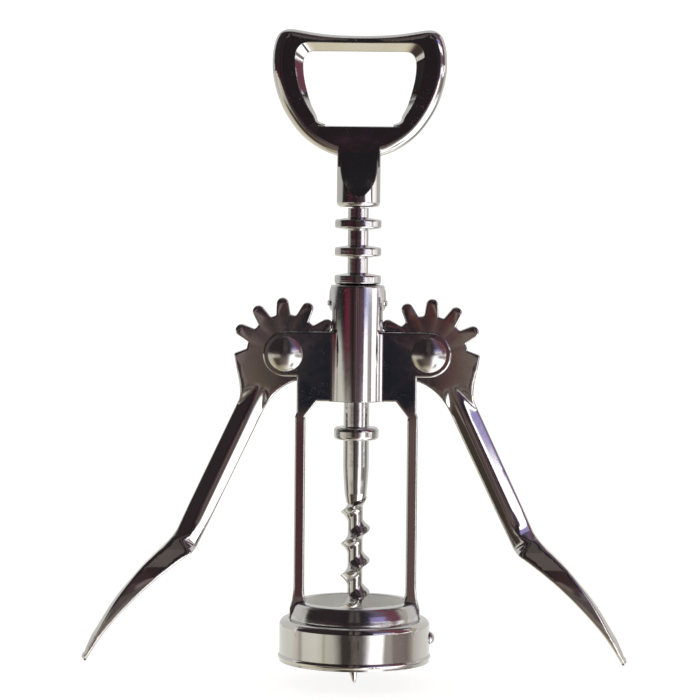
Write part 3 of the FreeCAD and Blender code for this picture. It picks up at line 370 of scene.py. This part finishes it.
# ---------------------------------------------------------------- studio
# What the chrome sees: a dark room in front, a lamp at the right, pale walls at the sides and behind,
# a table that is beige on the left, dark in front and white on the right.
world = bpy.data.worlds.new("studio")
scene.world = world
world.use_nodes = True
g = Graph(world.node_tree)
g.nodes.clear()
direction = g.new("ShaderNodeTexCoord").outputs["Generated"]
split = g.new("ShaderNodeSeparateXYZ")
g.put(split.inputs[0], direction)
dx, dy, dz = split.outputs
azimuth = g.math("DEGREES", g.math("ARCTAN2", dx, g.math("MULTIPLY", dy, -1.0)))
elevation = g.math("DEGREES", g.math("ARCSINE", dz))
turn = g.math("ABSOLUTE", azimuth)
round_about = g.math("MULTIPLY_ADD", azimuth, 1.0 / 360.0, 0.5)
LIGHT = 4.0


def tone(rgb, gain=1.0):
    """A colour in display values, as the light that gives it after one reflection in the plate."""
    return tuple(((v / 255.0 + 0.055) / 1.055) ** 2.4 / 0.62 / LIGHT * gain for v in rgb)


def around(stops):
    """Colours at azimuths: 0 is the front, plus is the right."""
    return g.ramp(round_about, [((az + 180.0) / 360.0, tone(rgb, gain)) for az, rgb, gain in stops])


def patch(base, az, el, rgb, soft_az=3.0, soft_el=4.0, gain=1.0):
    mask = g.math("MULTIPLY", g.band(azimuth, az[0], az[1], soft_az), g.band(elevation, el[0], el[1], soft_el))
    return g.mix(mask, base, tone(rgb, gain))


middle = around([
    (-180, (165, 165, 162), 1), (-140, (178, 178, 174), 1), (-118, (172, 172, 170), 1), (-106, (120, 120, 118), 1),
    (-97, (52, 52, 51), 1), (-64, (37, 34, 33), 1), (-57, (62, 29, 36), 1), (-49, (98, 34, 50), 1), (-38, (96, 44, 56), 1),
    (-30, (58, 41, 42), 1), (-18, (38, 24, 27), 1), (-9, (70, 55, 55), 1), (0, (56, 44, 45), 1), (9, (78, 55, 58), 1),
    (18, (82, 66, 80), 1), (26, (100, 90, 116), 1), (33, (146, 148, 188), 1), (46, (172, 174, 208), 1),
    (53, (150, 148, 162), 1), (65, (172, 168, 172), 1), (69, (255, 255, 255), 1.5), (86, (255, 252, 250), 1.5),
    (92, (150, 132, 138), 1), (99, (160, 146, 148), 1), (104, (226, 220, 218), 1), (124, (206, 200, 197), 1),
    (180, (165, 165, 162), 1),
])
upper = around([
    (-180, (168, 168, 162), 1), (-104, (172, 172, 164), 1), (-97, (150, 150, 143), 1), (-90, (40, 36, 37), 1),
    (-66, (33, 28, 30), 1), (-56, (60, 30, 40), 1), (-42, (58, 30, 38), 1), (-30, (40, 28, 31), 1), (-4, (46, 32, 38), 1),
    (8, (58, 46, 53), 1), (24, (70, 56, 66), 1), (34, (84, 68, 82), 1), (39, (236, 232, 240), 1.2),
    (66, (255, 253, 252), 1.4), (71, (120, 108, 112), 1), (78, (96, 86, 88), 1), (83, (246, 242, 240), 1.2), (106, (235, 230, 228), 1),
    (118, (160, 156, 150), 1), (140, (172, 170, 162), 1),
    (180, (168, 168, 162), 1),
])
above = around([
    (-180, (180, 180, 178), 1), (-110, (184, 183, 179), 1), (-101, (90, 88, 86), 1), (-94, (38, 36, 35), 1),
    (-62, (45, 38, 40), 1), (-30, (44, 37, 39), 1), (-12, (31, 28, 30), 1), (12, (30, 29, 32), 1), (26, (48, 44, 50), 1),
    (40, (92, 84, 104), 1), (56, (98, 84, 98), 1), (66, (104, 62, 74), 1), (88, (98, 60, 70), 1),
    (97, (170, 166, 163), 1), (112, (186, 184, 180), 1), (180, (182, 182, 180), 1),
])
table = around([
    (-180, (200, 198, 192), 1), (-112, (194, 192, 184), 1), (-98, (180, 174, 165), 1), (-92, (146, 141, 132), 1),
    (-86, (192, 187, 178), 1), (-60, (196, 194, 182), 1), (-50, (188, 186, 171), 1), (-47, (156, 154, 140), 1),
    (-43, (180, 178, 163), 1), (-33, (171, 168, 158), 1), (-24, (116, 113, 105), 1), (-19, (58, 54, 50), 1),
    (-7, (53, 49, 45), 1), (-4, (84, 79, 73), 1), (0, (96, 90, 84), 1), (11, (97, 92, 90), 1), (16, (150, 146, 146), 1),
    (21, (215, 212, 214), 1), (27, (255, 255, 255), 1.3), (42, (255, 252, 252), 1.3), (48, (150, 146, 144), 1),
    (57, (150, 142, 136), 1), (62, (122, 113, 109), 1), (88, (110, 100, 95), 1), (97, (140, 132, 126), 1),
    (104, (175, 170, 163), 1), (128, (195, 193, 189), 1), (180, (200, 198, 192), 1),
])
below = around([
    (-180, (204, 201, 190), 1), (-90, (196, 190, 172), 1), (-68, (178, 171, 140), 1), (-61, (120, 110, 92), 1),
    (-57, (58, 52, 48), 1), (-44, (62, 52, 47), 1), (-20, (92, 80, 72), 1), (0, (112, 101, 94), 1), (13, (140, 131, 124), 1),
    (20, (226, 222, 220), 1), (26, (255, 255, 255), 1.6), (82, (255, 253, 250), 1.6), (96, (150, 146, 142), 1), (124, (118, 114, 110), 1), (142, (196, 192, 184), 1),
    (180, (204, 201, 190), 1),
])
under = around([
    (-180, (208, 203, 188), 1), (-110, (194, 187, 168), 1), (-60, (150, 141, 122), 1), (-30, (165, 156, 134), 1),
    (-8, (190, 182, 155), 1), (14, (222, 216, 200), 1), (40, (255, 254, 252), 1.15), (110, (255, 254, 252), 1.15), (180, (214, 211, 202), 1),
])

# the far edge of the table: nearer in front, further off at the sides
slopes = []
for values in ((azimuth, -100.0, -70.0, -2.40, -2.88), (azimuth, -72.0, -47.0, 0.0, -1.5)):
    slope = g.new("ShaderNodeMapRange", clamp=True)
    for i, value in enumerate(values):
        g.put(slope.inputs[i], value)
    slopes.append(slope.outputs["Result"])
left_edge = g.math("ADD", slopes[0], slopes[1])
edge = g.math("MAXIMUM", left_edge, g.step(azimuth, 24.0, 32.0, -4.2, -2.5))
over_edge = g.step(elevation, g.math("SUBTRACT", edge, 0.3), g.math("ADD", edge, 0.3))
low_red = g.math("MULTIPLY", g.band(azimuth, -62.0, -30.0, 3.0), g.step(elevation, -2.8, -3.6))
sky = g.mix(low_red, middle, tone((62, 52, 51)))
sky = g.mix(g.step(elevation, -1.9, -1.5), sky, upper)
sky = g.mix(g.step(elevation, 1.2, 2.4), sky, above)
ground = g.mix(g.step(elevation, -66.0, -46.0), under, g.mix(g.step(elevation, -21.0, -12.0), below, table))
# small things straight ahead, which only the flat faces show
ahead = g.mix(g.step(elevation, -4.6, -1.9), tone((92, 82, 70)), tone((65, 54, 53)))
ahead = g.mix(g.step(azimuth, -0.6, 0.6), ahead, g.mix(g.step(elevation, -4.6, -3.0), tone((90, 73, 70)), tone((84, 52, 50))))
ahead = g.mix(g.math("MULTIPLY", g.band(azimuth, -1.42, -0.3, 0.06), g.step(elevation, -4.3, -4.7)), ahead, tone((72, 46, 50)))
ahead = g.mix(g.math("MULTIPLY", g.band(azimuth, -1.48, 1.82, 0.06), g.band(elevation, -4.40, -2.20, 0.12)), ahead, tone((27, 30, 37)))
wide = g.mix(g.step(azimuth, -1.0, 1.0), tone((113, 100, 99)), tone((106, 96, 89)))
wide = g.mix(g.step(elevation, -8.0, -6.6), tone((92, 76, 71)), wide)
wide = g.mix(g.step(turn, 4.0, 4.5), wide, tone((66, 54, 57)))
ahead = g.mix(g.step(turn, 2.15, 2.6), ahead, wide)

sky = g.mix(over_edge, ground, sky)
sky = g.mix(g.math("MULTIPLY", g.band(azimuth, -7.0, 7.0, 0.8), g.band(elevation, -8.6, -1.15, 0.25)), sky, ahead)
sky = patch(sky, (-2.6, 2.6), (0.7, 4.6), (35, 29, 32), 0.5, 0.6)
# a white lamp and a blue-grey wall above it at the right
sky = patch(sky, (29.0, 64.0), (7.5, 12.4), (255, 252, 250), 1.5, 0.4, 1.3)
sky = patch(sky, (29.0, 58.0), (12.4, 24.0), (145, 135, 186), 2.0, 0.4)
for side in (-1, 1):
    spans = [tuple(sorted((side * a, side * b))) for a, b in ((2.5, 9.0), (2.5, 12.0))]
    sky = patch(sky, spans[0], (10.0, 44.0), (88, 80, 76), 0.8, 2.0)
    sky = patch(sky, spans[1], (44.0, 74.0), (76, 70, 66), 1.0, 4.0)
    sky = patch(sky, tuple(sorted((side * 4.2, side * 9.0))), (-1.1, 10.0), (58, 44, 44), 1.0, 1.0)
    sky = patch(sky, spans[0], (-30.0, -9.6), (80, 72, 71), 1.2, 1.0)

    sky = patch(sky, tuple(sorted((side * 90.0, side * 128.0))), (38.0, 70.0), (70, 66, 62), 4.0, 3.0)
sky = patch(sky, (34.0, 52.0), (-60.0, -41.0), (72, 60, 58), 2.0, 2.0)
# what the barrel shows beside its white strip
sky = patch(sky, (64.5, 87.5), (-4.7, -2.5), (255, 253, 250), 1.5, 0.3, 1.3)
sky = patch(sky, (90.0, 103.0), (-4.7, -2.2), (150, 130, 140), 1.5, 0.3)
sky = patch(sky, (9.0, 27.5), (-4.6, -1.9), (88, 66, 80), 1.5, 0.3)

seen = g.new("ShaderNodeBackground")
g.put(seen.inputs["Color"], sky)
seen.inputs["Strength"].default_value = LIGHT
plain = g.new("ShaderNodeBackground")
plain.inputs["Color"].default_value = (1.0, 1.0, 1.0, 1.0)
plain.inputs["Strength"].default_value = 1.1
path = g.new("ShaderNodeLightPath")
soft = g.math("MAXIMUM", path.outputs["Is Camera Ray"], path.outputs["Is Diffuse Ray"])
both = g.new("ShaderNodeMixShader")
g.put(both.inputs[0], soft)
g.put(both.inputs[1], seen.outputs[0])
g.put(both.inputs[2], plain.outputs[0])
out = g.new("ShaderNodeOutputWorld")
g.put(out.inputs["Surface"], both.outputs[0])

# ---------------------------------------------------------------- camera
FRAME_PX = 700
FOCAL_PX = 2713.0
camera_data = bpy.data.cameras.new("camera")
camera = bpy.data.objects.new("camera", camera_data)
scene.collection.objects.link(camera)
camera_data.sensor_fit = "HORIZONTAL"
camera_data.sensor_width = 36.0
camera_data.lens = 36.0 * FOCAL_PX / FRAME_PX
camera_data.clip_start = 0.01
camera_data.clip_end = 20.0
eye = Vector((-0.0019, -0.729, 0.1230))
target = Vector((-0.0019, 0.0, 0.0839))
toward = (target - eye).normalized()
level = toward.to_track_quat("-Z", "Y").to_matrix().to_4x4()
roll = Matrix.Rotation(math.radians(0.55), 4, "Z")
camera.matrix_world = Matrix.Translation(eye) @ level @ roll
scene.camera = camera

scene.view_settings.view_transform = "Standard"
scene.view_settings.look = "None"
